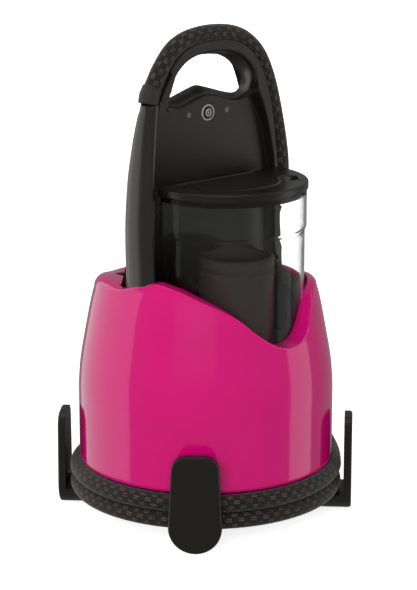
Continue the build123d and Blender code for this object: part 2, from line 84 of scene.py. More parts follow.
def camera_frame(right, forward, up):
    """Point given from the object's middle, along the camera's right, forward and up."""
    heading = radians(VIEW_TURN)
    x = right * cos(heading) + forward * sin(heading)
    y = -right * sin(heading) + forward * cos(heading)
    return (x, y, up)


emitter("window_left", camera_frame(-1.6, 0.6, 0.55), (0, 0, 0.55), 2.9, 2.6, 17).visible_diffuse = False
emitter("key_left", camera_frame(-1.6, -0.3, 0.9), (0, 0, 0.3), 2.0, 2.0, 6).visible_glossy = False
emitter("strip_right", camera_frame(1.6, 0.08, 0.4), (0, 0, 0.4), 0.8, 2.4, 5)
emitter("top", camera_frame(-0.2, 0.1, 2.0), (0, 0, 0.2), 1.4, 1.4, 6)
emitter("fill_front", camera_frame(-0.5, -2.9, 1.2), (0, 0, 0.25), 2.2, 1.8, 52).visible_glossy = False
emitter("fill_back", camera_frame(0.8, 2.9, 1.3), (0, 0, 0.2), 2.2, 1.8, 24).visible_glossy = False

world = bpy.data.worlds.new("studio")
bpy.context.scene.world = world
world.use_nodes = True
world.node_tree.nodes["Background"].inputs["Color"].default_value = (1, 1, 1, 1)
world.node_tree.nodes["Background"].inputs["Strength"].default_value = 0.24
bpy.context.scene.view_settings.view_transform = "Standard"


# ---- materials ------------------------------------------------------------------------
def srgb(r, g, b):
    """Linear colour from 8-bit display values."""
    def linear(v):
        v /= 255
        return v / 12.92 if v <= 0.04045 else ((v + 0.055) / 1.055) ** 2.4
    return (linear(r), linear(g), linear(b), 1)


class Nodes:
    """Short-hand for building one material's node tree."""

    def __init__(self, name):
        self.material = bpy.data.materials.new(name)
        self.material.use_nodes = True
        self.tree = self.material.node_tree
        self.bsdf = self.tree.nodes["Principled BSDF"]

    def add(self, kind, **settings):
        node = self.tree.nodes.new(kind)
        for key, value in settings.items():
            if hasattr(node, key):
                setattr(node, key, value)
            else:
                node.inputs[key.replace("_", " ")].default_value = value
        return node

    def link(self, source, target):
        self.tree.links.new(source, target)

    def math(self, operation, a, b=None):
        node = self.add("ShaderNodeMath", operation=operation)
        for socket, value in zip(node.inputs, (a, b)):
            if value is None:
                continue
            if isinstance(value, (int, float)):
                socket.default_value = value
            else:
                self.link(value, socket)
        return node.outputs[0]

    def noise(self, scale, detail=3.0):
        coords = self.add("ShaderNodeTexCoord").outputs["Object"]
        node = self.add("ShaderNodeTexNoise", Scale=scale, Detail=detail)
        self.link(coords, node.inputs["Vector"])
        return node.outputs["Fac"]

    def ramp(self, value, stops):
        node = self.add("ShaderNodeValToRGB")
        elements = node.color_ramp.elements
        while len(elements) < len(stops):
            elements.new(0.5)
        for element, (position, colour) in zip(elements, stops):
            element.position = position
            element.color = colour
        self.link(value, node.inputs["Fac"])
        return node.outputs["Color"]

    def span(self, value, low, high):
        node = self.add("ShaderNodeMapRange")
        node.inputs["To Min"].default_value = low
        node.inputs["To Max"].default_value = high
        self.link(value, node.inputs["Value"])
        return node.outputs["Result"]

    def bump(self, height, strength, distance):
        node = self.add("ShaderNodeBump", Strength=strength, Distance=distance)
        self.link(height, node.inputs["Height"])
        self.link(node.outputs["Normal"], self.bsdf.inputs["Normal"])

    def set(self, **values):
        for key, value in values.items():
            self.bsdf.inputs[key.replace("_", " ")].default_value = value


def moulded(name, dark, light, rough, grain=2500.0, depth=0.00001, **extra):
    """Moulded plastic, rubber or metal: mottled colour, uneven gloss and a fine grain."""
    n = Nodes(name)
    n.link(n.ramp(n.noise(26.0), [(0.3, dark), (0.7, light)]), n.bsdf.inputs["Base Color"])
    n.link(n.span(n.noise(60.0, 4.0), rough - 0.04, rough + 0.04), n.bsdf.inputs["Roughness"])
    n.bump(n.noise(grain, 2.0), 0.2, depth)
    n.set(Specular_Tint=(1.0, 0.975, 0.93, 1.0))
    n.set(**extra)
    return n.material


M = {
    "pink_shell": moulded("pink_shell", srgb(232, 8, 126), srgb(235, 12, 130), 0.12, 40.0, 0.00001,
                          Coat_Weight=0.35, Coat_Roughness=0.03),
    "black_satin": moulded("black_satin", srgb(22, 21, 18), srgb(26, 25, 22), 0.40),
    "black_gloss": moulded("black_gloss", srgb(22, 21, 19), srgb(25, 24, 22), 0.22, 400.0, 0.00001),
    "grey_rubber": moulded("grey_rubber", srgb(48, 46, 43), srgb(54, 52, 49), 0.55),
    "black_base": moulded("black_base", srgb(16, 16, 15), srgb(22, 21, 20), 0.6),
    "filter_black": moulded("filter_black", srgb(52, 48, 44), srgb(58, 53, 48), 0.36, 700.0, 0.000004),
    # rim_grey: painted highlight, a grey colour that stands in for the shine on the black satin bay rim
    "rim_grey": moulded("rim_grey", srgb(78, 76, 71), srgb(86, 84, 79), 0.4),
    "riser_black": moulded("riser_black", srgb(26, 25, 22), srgb(29, 28, 25), 0.25, 400.0, 0.00001,
                           Specular_IOR_Level=0.8),
    "lid_black": moulded("lid_black", srgb(23, 22, 19), srgb(27, 26, 23), 0.3),
    "foot_rubber": moulded("foot_rubber", srgb(24, 24, 24), srgb(32, 32, 31), 0.8),
    "steel": moulded("steel", srgb(176, 178, 180), srgb(196, 198, 200), 0.26, 500.0, 0.00001, Metallic=1.0),
    "bracket_metal": moulded("bracket_metal", srgb(150, 152, 155), srgb(170, 172, 174), 0.38, 300.0,
                             0.00002, Metallic=1.0),
    "hose_silicone": moulded("hose_silicone", srgb(200, 200, 192), srgb(214, 213, 206), 0.45),
    "circuit_board": moulded("circuit_board", srgb(18, 74, 46), srgb(24, 90, 55), 0.4),
    "indicator": moulded("indicator", srgb(84, 84, 80), srgb(96, 96, 92), 0.3),
    "white_print": moulded("white_print", srgb(214, 214, 216), srgb(226, 226, 228), 0.5),
    "white_light": moulded("white_light", srgb(168, 168, 176), srgb(192, 192, 200), 0.35),
}


def clear_plastic():
    n = Nodes("clear_tank")
    n.link(n.span(n.noise(8.0), 0.005, 0.02), n.bsdf.inputs["Roughness"])
    n.set(Base_Color=(0.985, 0.99, 0.985, 1), Transmission_Weight=1.0, IOR=1.25)
    return n.material


M["clear_tank"] = clear_plastic()


# ---- the hose, first of all -------------------------------------------------------------
def polar(theta, rho, z):
    """Point at an angle from the front, a distance from the axis and a height, in mm."""
    return (rho * sin(radians(theta)), -rho * cos(radians(theta)), z)


HOSE_D = 15.0
COIL_R = 113.9            # control points lie a little outside the turns that they shape
COIL_HIGH_Z, COIL_LOW_Z = 39.5, 24.5
COIL_FROM, COIL_TO, COIL_STEP = 40, -490, -15      # degrees that the turns run through
DROP_FROM, DROP_OVER = -235, 40                    # where the upper turn passes down
HOSE_EXIT = (-67, -5.8, 376)
HOSE_ARCH = [
    (-67, -5.8, 376), (-51, -5.5, 407), (-24, -5.5, 422.5), (24, -5.5, 422.5), (51, -5.5, 407),
    (66, -5.5, 380), (77, -5.5, 338), (84, -5.5, 300), (87, 0, 266), (90, 18, 240),
    (96, 41, 224), (106, 58, 203), (112, 65.5, 174), polar(119, 129, 140), polar(112.5, 126.5, 108),
    polar(102.5, 124.5, 81), polar(90.5, 123.5, 61), polar(77.5, 121.5, 46.5), polar(65, 118, 40),
    polar(53, 114, 39.5),
]
HOSE_TAIL = [
    polar(221, 113, 24.5), polar(208, 116.5, 24.5), polar(194, 124, 27), polar(180, 133, 35),
    polar(167, 141, 46), polar(155.4, 146, 60), polar(146.7, 147, 83), polar(142, 146, 112),
    polar(142, 146, 142),
]


def wound_turns():
    """Two turns round the foot, the upper one passing down into the lower one."""
    points = []
    for theta in range(COIL_FROM, COIL_TO, COIL_STEP):
        drop = min(max((DROP_FROM - theta) / DROP_OVER, 0), 1)
        drop = drop * drop * (3 - 2 * drop)
        z = COIL_HIGH_Z + (COIL_LOW_Z - COIL_HIGH_Z) * drop
        points.append(polar(theta, COIL_R, z))
    return points


def smooth_line(name, points, step):
    """Evenly spaced points on the NURBS spline that the route's points control."""
    curve = bpy.data.curves.new(name, "CURVE")
    curve.dimensions = "3D"
    curve.resolution_u = 24
    spline = curve.splines.new("NURBS")
    spline.points.add(len(points) - 1)
    for knot, point in zip(spline.points, points):
        knot.co = (point[0] * MM, point[1] * MM, point[2] * MM, 1)
    spline.order_u = 3
    spline.use_endpoint_u = True
    holder = bpy.data.objects.new(name, curve)
    bpy.context.collection.objects.link(holder)
    bpy.context.view_layer.update()
    line = bpy.data.meshes.new_from_object(holder)
    dense = [v.co.copy() for v in line.vertices]
    bpy.data.objects.remove(holder)
    bpy.data.curves.remove(curve)
    bpy.data.meshes.remove(line)
    gone = [0.0]
    for a, b in zip(dense, dense[1:]):
        gone.append(gone[-1] + (b - a).length)
    count = max(2, round(gone[-1] / step))
    even = []
    k = 0
    for i in range(count + 1):
        target = gone[-1] * i / count
        while k < len(gone) - 2 and gone[k + 1] < target:
            k += 1
        share = (target - gone[k]) / max(gone[k + 1] - gone[k], 1e-9)
        even.append(dense[k].lerp(dense[k + 1], min(share, 1.0)))
    return even


def make_object(name, verts, faces, material):
    mesh = bpy.data.meshes.new(name)
    mesh.from_pydata([tuple(v) for v in verts], [], faces)
    mesh.materials.append(material)
    for polygon in mesh.polygons:
        polygon.use_smooth = True
    mesh.update()
    piece = bpy.data.objects.new(name, mesh)
    bpy.context.collection.objects.link(piece)
    return piece


AROUND = 28               # points round the hose's section
STRANDS = 10              # yarn crossings round the hose
PLAIT = 0.0052            # length of one crossing along the hose
UV_LENGTH = 2.0           # metres of hose to one unit of its map


def hose_relief(s, share):
    """Height of the plaited cover: two families of yarns crossing over and under."""
    a = s / PLAIT + share * STRANDS
    b = s / PLAIT - share * STRANDS
    over = 0.5 + 0.5 * cos(pi * (a + b)) * cos(pi * (a - b))
    return 0.00022 * sqrt(abs(sin(pi * a) * sin(pi * b))) + 0.00012 * over


def hose_tube(name, line, material):
    """Tube round a line, its section carried along without twisting."""
    verts = []
    uvs = []
    tangent = (line[1] - line[0]).normalized()
    side = tangent.orthogonal().normalized()
    gone = 0.0
    for i, point in enumerate(line):
        ahead = (line[min(i + 1, len(line) - 1)] - line[max(i - 1, 0)]).normalized()
        side = (side - ahead * side.dot(ahead)).normalized()
        other = ahead.cross(side)
        if i:
            gone += (point - line[i - 1]).length
        for j in range(AROUND):
            angle = tau * j / AROUND
            radius = HOSE_D / 2 * MM - 0.0003 + hose_relief(gone, j / AROUND)
            verts.append(point + (side * cos(angle) + other * sin(angle)) * radius)
            uvs.append((gone, j / AROUND))
    faces = []
    for i in range(len(line) - 1):
        for j in range(AROUND):
            k = (j + 1) % AROUND
            a, b = i * AROUND, (i + 1) * AROUND
            faces.append((a + j, a + k, b + k, b + j))
    last = (len(line) - 1) * AROUND
    faces.append(tuple(reversed(range(AROUND))))
    faces.append(tuple(last + j for j in range(AROUND)))
    piece = make_object(name, verts, faces, material)
    layer = piece.data.uv_layers.new(name="UVMap")
    for polygon in piece.data.polygons:
        corners = [piece.data.loops[index].vertex_index for index in polygon.loop_indices]
        closes_ring = len(corners) == 4 and max(uvs[vertex][1] for vertex in corners) > 0.5
        for index, vertex in zip(polygon.loop_indices, corners):
            along, share = uvs[vertex]
            if closes_ring and vertex % AROUND == 0:
                share = 1.0
            layer.data[index].uv = (along / UV_LENGTH, share)
    return piece


def textile():
    """Dark plaited yarn with pairs of pale flecks in staggered rows."""
    n = Nodes("textile_hose")
    uv = n.add("ShaderNodeUVMap", uv_map="UVMap").outputs["UV"]
    split = n.add("ShaderNodeSeparateXYZ")
    n.link(uv, split.inputs[0])
    along = n.math("MULTIPLY", split.outputs["X"], UV_LENGTH / (PLAIT * 2))
    around = n.math("MULTIPLY", split.outputs["Y"], STRANDS)
    row = n.math("FLOOR", around)
    odd = n.math("MODULO", row, 2.0)
    shifted = n.math("ADD", along, n.math("MULTIPLY", odd, 0.5))
    u = n.math("ABSOLUTE", n.math("SUBTRACT", n.math("FRACT", shifted), 0.5))
    v = n.math("ABSOLUTE", n.math("SUBTRACT", n.math("FRACT", around), 0.5))
    inside_u = n.math("LESS_THAN", u, 0.23)
    inside_v = n.math("LESS_THAN", n.math("ABSOLUTE", n.math("SUBTRACT", v, 0.2)), 0.11)
    fleck = n.math("MULTIPLY", inside_u, inside_v)
    patchy = n.math("GREATER_THAN", n.noise(220.0, 1.0), 0.46)
    fleck = n.math("MULTIPLY", fleck, n.span(patchy, 0.35, 1.0))
    mix = n.add("ShaderNodeMix", data_type="RGBA")
    n.link(fleck, mix.inputs["Factor"])
    yarn = n.ramp(n.noise(900.0), [(0.35, srgb(24, 21, 18)), (0.65, srgb(38, 34, 31))])
    n.link(yarn, mix.inputs["A"])
    mix.inputs["B"].default_value = srgb(84, 79, 73)
    n.link(mix.outputs["Result"], n.bsdf.inputs["Base Color"])
    n.link(n.span(n.noise(500.0), 0.62, 0.8), n.bsdf.inputs["Roughness"])
    n.bump(n.noise(1500.0, 2.0), 0.5, 0.0001)
    n.set(Sheen_Weight=0.25, Sheen_Roughness=0.4)
    return n.material


M["textile_hose"] = textile()

HOSE_STEP = 0.0013
hose_line = smooth_line("hose_route", HOSE_ARCH + wound_turns() + HOSE_TAIL, HOSE_STEP)
hose = hose_tube("hose", hose_line, M["textile_hose"])
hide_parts("hose_over_arch", "hose_coil", "hose_tail")
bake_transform(hose)


# ---- surfaces built from rows of points ------------------------------------------------
def volume_of(verts, faces):
    """Signed volume inside the faces: below 0 when they face inwards."""
    middle = sum(verts, Vector()) / len(verts)
    total = 0.0
    for face in faces:
        a = verts[face[0]] - middle
        for i, k in zip(face[1:], face[2:]):
            total += a.dot((verts[i] - middle).cross(verts[k] - middle)) / 6
    return total


def skin(name, rows, material, ring_of_rows=False, caps=False):
    """Outward-facing quads between closed rings of points, which may also be capped or close in a loop."""
    width = len(rows[0])
    verts = [Vector(p) * MM for row in rows for p in row]
    faces = []
    for i in range(len(rows) if ring_of_rows else len(rows) - 1):
        a, b = i * width, (i + 1) % len(rows) * width
        for j in range(width):
            k = (j + 1) % width
            faces.append((a + j, a + k, b + k, b + j))
    if caps:
        last = (len(rows) - 1) * width
        faces.append(tuple(reversed(range(width))))
        faces.append(tuple(last + j for j in range(width)))
    if volume_of(verts, faces) < 0:
        faces = [tuple(reversed(face)) for face in faces]
    return make_object(name, verts, faces, material)


def through(stations, x):
    """Smooth value at x on the curve through (x, value) stations, level beyond its ends."""
    if x <= stations[0][0]:
        return stations[0][1]
    for i in range(len(stations) - 1):
        (x0, y0), (x1, y1) = stations[i], stations[i + 1]
        if x <= x1:
            def slope(j):
                if j in (0, len(stations) - 1):
                    return 0.0
                (xa, ya), (xb, yb), (xc, yc) = stations[j - 1:j + 2]
                before, after = (yb - ya) / (xb - xa), (yc - yb) / (xc - xb)
                return 0.0 if before * after <= 0 else 2 * before * after / (before + after)
            t = (x - x0) / (x1 - x0)
            h = x1 - x0
            return ((1 + 2 * t) * (1 - t) ** 2 * y0 + t * (1 - t) ** 2 * h * slope(i)
                    + t * t * (3 - 2 * t) * y1 + t * t * (t - 1) * h * slope(i + 1))
    return stations[-1][1]


def ease(value, low, high):
    """0 below low, 1 above high, smooth between."""
    t = min(max((value - low) / (high - low), 0.0), 1.0)
    return t * t * (3 - 2 * t)


def lerp(a, b, t):
    return a + (b - a) * t


def catmull(points, count, closed):
    """Points on a curve through the given ones, count to a span."""
    n = len(points)
    out = []
    for i in range(n if closed else n - 1):
        if closed:
            p0, p1, p2, p3 = (Vector(points[(i + k) % n]) for k in (-1, 0, 1, 2))
        else:
            p0, p1, p2, p3 = (Vector(points[min(max(i + k, 0), n - 1)]) for k in (-1, 0, 1, 2))
        for step in range(count):
            t = step / count
            out.append(0.5 * (2 * p1 + (p2 - p0) * t + (2 * p0 - 5 * p1 + 4 * p2 - p3) * t * t
                              + (3 * p1 - p0 - 3 * p2 + p3) * t ** 3))
    if not closed:
        out.append(Vector(points[-1]))
    return out


# ---- floor ------------------------------------------------------------------------------
FLOOR_R, BEND_R, BACKDROP_TOP = 6000, 1500, 6000   # round floor that turns up into a backdrop
FLOOR_Z = -0.5
FLOOR_SIDES, BEND_STEPS = 96, 8
LATER_SHARE = 0.1         # brightness left for light that has already bounced off the object


def floor():
    n = Nodes("floor")
    path = n.add("ShaderNodeLightPath")
    bounces = n.math("ADD", path.outputs["Diffuse Depth"], path.outputs["Glossy Depth"])
    direct = n.span(n.math("LESS_THAN", bounces, 0.5), LATER_SHARE, 1.0)
    n.link(n.ramp(n.math("MULTIPLY", n.noise(3.0), direct),
                  [(0.0, srgb(0, 0, 0)), (0.2, srgb(252, 252, 252)), (0.6, srgb(255, 255, 255))]),
           n.bsdf.inputs["Base Color"])
    n.link(n.span(n.noise(40.0), 0.85, 0.95), n.bsdf.inputs["Roughness"])
    n.link(n.math("MULTIPLY", direct, 0.8), n.bsdf.inputs["Emission Strength"])
    n.set(Specular_IOR_Level=0.0, Emission_Color=(1, 1, 1, 1))
    profile = [(0.02, FLOOR_Z), (FLOOR_R, FLOOR_Z)]
    for i in range(1, BEND_STEPS + 1):
        a = pi / 2 * i / BEND_STEPS
        profile.append((FLOOR_R + BEND_R * sin(a), BEND_R + FLOOR_Z - BEND_R * cos(a)))
    profile.append((FLOOR_R + BEND_R, BACKDROP_TOP))
    turns = [tau * j / FLOOR_SIDES for j in range(FLOOR_SIDES)]
    rows = [[(rho * cos(a), rho * sin(a), z) for a in turns] for rho, z in profile]
    piece = skin("floor", rows, n.material)
    piece.visible_diffuse = False
    piece.visible_glossy = False
    piece.visible_shadow = False


floor()


# Riser's section by height: (z, middle x, middle y, half width, half depth)
RISER = [(131.3, -79.0, -14.0, 7.5, 13.5), (211, -81.8, -11.5, 8.4, 17.0), (259, -82.8, -11.0, 8.4, 16.6),
         (300, -80.5, -10.3, 8.2, 15.6), (333, -75.8, -9.0, 7.8, 13.2), (357, -70.4, -7.4, 7.5, 10.5),
         (369, -66.8, -6.3, 7.2, 8.5)]
SEAM_AT = 152.0           # where the groove between the riser's halves runs, in degrees


def riser_at(z):
    return [through([(row[0], row[k]) for row in RISER], z) for k in range(1, 5)]


# ---- coloured shell ------------------------------------------------------------------------
WALL = [(48, 112), (110, 112), (129, 111), (144, 109), (158, 106.5), (175, 103.3), (192, 99.8), (203, 96.8),
        (213, 93.5), (224, 89.5)]
RIM = [(-180, 203), (-160, 204), (-150, 206.2), (-140, 209.3), (-128, 212), (-112, 213), (-104, 212.5),
       (-95, 212), (-82, 217), (-69, 222), (-56, 218), (-44, 211), (-27, 197.5), (-15, 180.5),
       (-8.6, 172.5), (-2, 167), (4, 165.6), (9, 167), (14, 171),
       (19, 179), (23, 190), (27, 198), (34, 204.5), (45, 208), (60, 207.5), (72, 206), (90, 206),
       (115, 208.5), (140, 206.5), (160, 204), (180, 203)]
SHOULDER = [(-180, 9), (-120, 11), (-98, 6), (-80, 2.6), (-30, 1.6), (24, 1.6), (40, 3.5), (60, 7),
            (90, 9.5), (120, 11)]
LIP_R = [(-180, 79), (-132, 79), (-118, 71), (-104, 71), (-90, 79), (-60, 79), (44, 88.5), (60, 88.5),
         (76, 88.6), (102, 88.8), (112, 82), (180, 79)]
BESIDE_ARCH_X, BEHIND_ARCH_Y = 84.0, 16.4          # sides of the arch's left foot
SHELL_COLUMNS = 360
SHELL_T = 3.0


def lip_radius(theta, z):
    """Inner edge of the lip, kept clear of the arch's left foot and of the riser."""
    edge = through(LIP_R, theta)
    c, s = -cos(radians(theta)), sin(radians(theta))
    if -101 < theta < -80:
        edge = max(edge, BESIDE_ARCH_X / -s)
    elif -130 < theta <= -101:
        edge = max(edge, BEHIND_ARCH_Y / c)
    cx, cy, a, b = riser_at(z)
    a, b = a + 0.4, b + 0.4
    qa = (s / a) ** 2 + (c / b) ** 2
    qb = -2 * (s * cx / a ** 2 + c * cy / b ** 2)
    qc = (cx / a) ** 2 + (cy / b) ** 2 - 1
    inside = qb * qb - 4 * qa * qc
    if theta < 0 and inside > 0:
        edge = max(edge, (-qb + sqrt(inside)) / (2 * qa))
    return edge


def shell_column(theta):
    """Section of the shell's wall at one angle, from inside the skirt over the rim and back in."""
    rim = through(RIM, theta)
    corner = through(SHOULDER, theta)
    inner_edge = lip_radius(theta, rim)
    profile = [(109, 60), (109, 48.8), (109.5, 48), (111.4, 48), (112, 48.7)]
    foot = 52.0
    top = rim - corner
    profile += [(through(WALL, z), z) for z in (lerp(foot, top, i / 40) for i in range(41))]
    r_top = through(WALL, top)
    for i in range(1, 9):
        a = pi / 2 * i / 8
        profile.append((r_top - corner * (1 - cos(a)), top + corner * sin(a)))
    edge = min(inner_edge, r_top - corner - 0.3)
    for i in range(1, 5):
        profile.append((lerp(r_top - corner, edge + 0.8, i / 4), rim))
    thick = min(SHELL_T, 1.2 + corner)
    profile += [(edge + 0.2, rim - 0.5), (edge, rim - thick / 2), (edge + 0.3, rim - thick)]
    inner = [through(WALL, rim - drop) - SHELL_T for drop in (6, 14, 30)]
    profile += [(max(edge + 0.4, inner[0] - 0.5 * corner), rim - thick - 1.5)]
    profile += [(r, rim - drop) for r, drop in zip(inner, (6 + corner, 16 + corner, 30 + corner))]
    last = profile[-1][1]
    profile += [(through(WALL, z) - SHELL_T, z) for z in (lerp(last, 60, i / 8) for i in range(1, 8))]
    return [polar(theta, rho, z) for rho, z in profile]


def cut_box(piece, low, high):
    """Cut a box-shaped opening through a closed piece."""
    corners = [Vector(corner) * MM for corner in product(*zip(low, high))]
    sides = [(0, 1, 3, 2), (4, 6, 7, 5), (0, 4, 5, 1), (2, 3, 7, 6), (0, 2, 6, 4), (1, 5, 7, 3)]
    mesh = bpy.data.meshes.new("cutter")
    mesh.from_pydata(corners, [], sides)
    cutter = bpy.data.objects.new("cutter", mesh)
    bpy.context.collection.objects.link(cutter)
    modifier = piece.modifiers.new("opening", "BOOLEAN")
    modifier.operation = "DIFFERENCE"
    modifier.solver = "EXACT"
    modifier.object = cutter
    depsgraph = bpy.context.evaluated_depsgraph_get()
    cut = bpy.data.meshes.new_from_object(piece.evaluated_get(depsgraph))
    piece.modifiers.clear()
    piece.data = cut
    bpy.data.objects.remove(cutter)


def body_shell():
    columns = [shell_column(-180 + 360 * i / SHELL_COLUMNS) for i in range(SHELL_COLUMNS)]
    piece = skin("body_shell_skin", columns, M["pink_shell"], ring_of_rows=True)
    cut_box(piece, (-44, 90, 84), (-16, 130, 106))
    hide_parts("body_shell")
    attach(piece, "base")


body_shell()

BAND_TOP = [(-104, 204), (-75, 204), (-50, 203), (-30, 193), (-14, 176), (0, 162), (12, 165), (20, 177),
            (27, 186), (50, 187.5), (62, 188), (70, 192), (75, 198), (81, 203), (88, 205), (100, 204)]


def bay_rim():
    """Band that edges the tank's bay inside the coloured rim: black satin plastic, coloured grey as a painted
    highlight.
    """
    columns = []
    for i in range(161):
        theta = lerp(44, 103, i / 160)
        z = through(BAND_TOP, theta)
        lean = 0.35 * (205 - z)
        section = [(91 + lean, z - 16), (93.6 + lean * 0.7, z - 3), (93.2 + lean * 0.7, z - 1),
                   (92 + lean * 0.7, z), (88.4 + lean * 0.6, z), (87.3 + lean * 0.6, z - 0.8),
                   (87 + lean * 0.6, z - 2.4),
                   (88 + lean * 0.8, z - 14)]
        columns.append([polar(theta, rho, zz) for rho, zz in section])
    # the rim_grey colour here is a painted highlight on black plastic
    piece = skin("bay_rim", columns, M["rim_grey"], caps=True)
    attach(piece, "base")


bay_rim()


# ---- riser and collar ------------------------------------------------------------------------
def riser():
    rows = []
    for i in range(121):
        z = lerp(140, 369, i / 120)
        x, y, a, b = riser_at(z)
        row = []
        for j in range(96):
            t = 360 * j / 96
            off = abs(t - SEAM_AT)
            dent = 0.45 * max(0.0, 1 - off / 4.5)
            row.append((x + (a - dent) * cos(radians(t)), y + (b - dent) * sin(radians(t)), z))
        rows.append(row)
    piece = skin("riser_shell", rows, M["riser_black"], caps=True)
    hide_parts("riser_tube")
    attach(piece, "base")


riser()


def lathe(name, origin, axis, profile, material, count=48):
    """Turned piece from a (radius, height) profile about an axis, open at both ends."""
    axis = Vector(axis).normalized()
    side = axis.orthogonal().normalized()
    other = axis.cross(side)
    rows = []
    for radius, height in profile:
        centre = Vector(origin) + axis * height
        rows.append([centre + (side * cos(tau * j / count) + other * sin(tau * j / count)) * radius
                     for j in range(count)])
    return skin(name, rows, material)


def riser_collar():
    """Rubber sleeve that bends from the riser's top into the hose."""
    exit_point = Vector(HOSE_EXIT)
    low = Vector((0.23, 0.034, 1)).normalized()
    high = (Vector(HOSE_ARCH[1]) - exit_point).normalized()
    rows = []
    for radius, height in [(7.4, -7), (8.1, -7), (8.6, -6.4), (8.7, -5), (8.7, -2.5), (8.7, 0), (8.6, 2.5),
                           (8.5, 5), (8.4, 6.6), (8.2, 7.2), (7.9, 7.4), (7.6, 6.6), (7.6, 2)]:
        share = ease(height, -7, 7)
        axis = low.lerp(high, share).normalized()
        centre = exit_point + (low if height < 0 else high) * height
        side = axis.cross(Vector((0, 1, 0))).normalized()
        other = axis.cross(side)
        rows.append([centre + (side * cos(tau * j / 64) + other * sin(tau * j / 64)) * radius
                     for j in range(64)])
    piece = skin("riser_collar_sleeve", rows, M["grey_rubber"])
    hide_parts("riser_collar")
    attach(piece, "base")
    return piece


collar = riser_collar()


# ---- carrying arch, with its recessed panel and sculpted hand hole ---------------------------------
FRONT_Y, BACK_Y, PANEL_Y = -12.0, 16.0, -3.0
ARCH = [(0, 422), (18, 419.9), (33, 414.5), (45, 406), (54, 395.5), (61, 379.5), (66, 362), (71, 331),
        (76.6, 286), (84, 200)]
HOLE_FRONT = [(0, 407, -12), (15, 405.8, -12), (28.4, 401.4, -12), (38, 394.2, -12), (43.6, 386.5, -12),
              (45.6, 377.5, -11), (46.5, 369.8, -6.5), (42.5, 364.9, -3.6), (35, 362.4, -3), (27, 363.2, -3),
              (18, 366, -3), (9, 368.7, -3), (0, 369.7, -3)]
HOLE_BACK = [(0, 401.5), (14, 401.2), (27, 399), (39, 392.6), (48, 383.5), (52.6, 375.5), (51.8, 369.6),
             (47.6, 365.6), (41, 364.8), (31, 367), (20, 370.3), (9, 373.6), (0, 375.6)]
RECESS_HALF = [(199, 73), (250, 71.6), (300, 69.5), (330, 64), (358, 56), (368, 51.5), (378, 46)]
SPAN = 12
BUTTON_Z = 354
WELL_R, WELL_EDGE_R, WELL_DEPTH = 5.7, 6.7, 2.0    # hollow that the button goes down into
HOSE_Y = -5.5             # depth of the hose's line where it lies on the arch
COLLAR_ROOM, HOSE_ROOM = 10.0, 7.9                 # radius of the groove under collar and hose
COLLAR_X = -54            # the collar lies left of this
ARCH_FOOT_Z = 201         # the groove ends here
PAST_RISER_Z = 372        # the riser needs no room above this


def mirrored(half):
    """Full loop from its right half, which runs from the top round to the bottom."""
    return half + [(-p[0], *p[1:]) for p in reversed(half[1:-1])]


def arch_loop():
    """Outer edge of the arch and its foot, with its outward normals, in step with the hole's loops."""
    arc = catmull([(-x, z, 0) for x, z in reversed(ARCH[1:])] + [(x, z, 0) for x, z in ARCH], SPAN, False)
    right = arc[len(arc) // 2:]
    foot = [Vector((lerp(84, 0, i / (3 * SPAN)), 200, 0)) for i in range(1, 3 * SPAN + 1)]
    half = right + foot
    loop = half + [Vector((-p.x, p.y, 0)) for p in reversed(half[1:-1])]
    normals = []
    corner = 9 * SPAN
    for i, point in enumerate(loop):
        along = loop[(i + 1) % len(loop)] - loop[i - 1]
        if corner <= i <= len(loop) - corner:
            normals.append(Vector((0, -1, 0)) if corner < i < len(loop) - corner
                           else Vector((copysign(1, point.x), 0, 0)))
        else:
            normals.append(Vector((-along.y, along.x, 0)).normalized())
    return loop, normals


def front_depth(x, z):
    """Depth of the front face: the frame's plane, and the panel's inside the recess."""
    soft = lerp(1.6, 8.0, ease(z, 335, 374))
    inside = through(RECESS_HALF, z) - abs(x)
    well = 1 - ease(sqrt(x * x + (z - BUTTON_Z) ** 2), WELL_R, WELL_EDGE_R)
    return lerp(FRONT_Y, PANEL_Y, ease(inside, -0.5, soft) * (1 - ease(z, 376, 384))) + WELL_DEPTH * well


def back_depth(x, z):
    inside = min(through(RECESS_HALF, z) - abs(x), 362.3 - z)
    return BACK_Y - 2.8 * ease(inside, -0.4, 0.4)


def relief_of_edge(point, normal, y):
    """How far the arch's side wall lies inside its outline at depth y, where the hose is let in."""
    cut = 0.0
    if point.y > ARCH_FOOT_Z:
        near, _, gap = HOSE_TREE.find((point.x, 0, point.y))
        h = (near.x - point.x) * normal.x + (near.z - point.y) * normal.y
        radius = COLLAR_ROOM if near.x < COLLAR_X else HOSE_ROOM
        if abs(y - HOSE_Y) < radius and gap ** 2 - h ** 2 < 4:
            cut = min(cut, h - sqrt(radius ** 2 - (y - HOSE_Y) ** 2))
    return cut


def beside_riser(point, y):
    """The point, moved in to where the riser leaves room at depth y."""
    cx, cy, a, b = riser_at(point.y)
    across = (y - cy) / (b + 0.3)
    if point.y > PAST_RISER_Z or abs(across) >= 1:
        return point
    return Vector((max(point.x, cx + (a + 0.3) * sqrt(1 - across ** 2)), point.y, 0))


FACE_ROWS, WALL_ROWS, HOLE_ROWS, BACK_ROWS = 110, 22, 16, 44
EDGE_R = 1.8
BACK_EDGE_R = 12.0


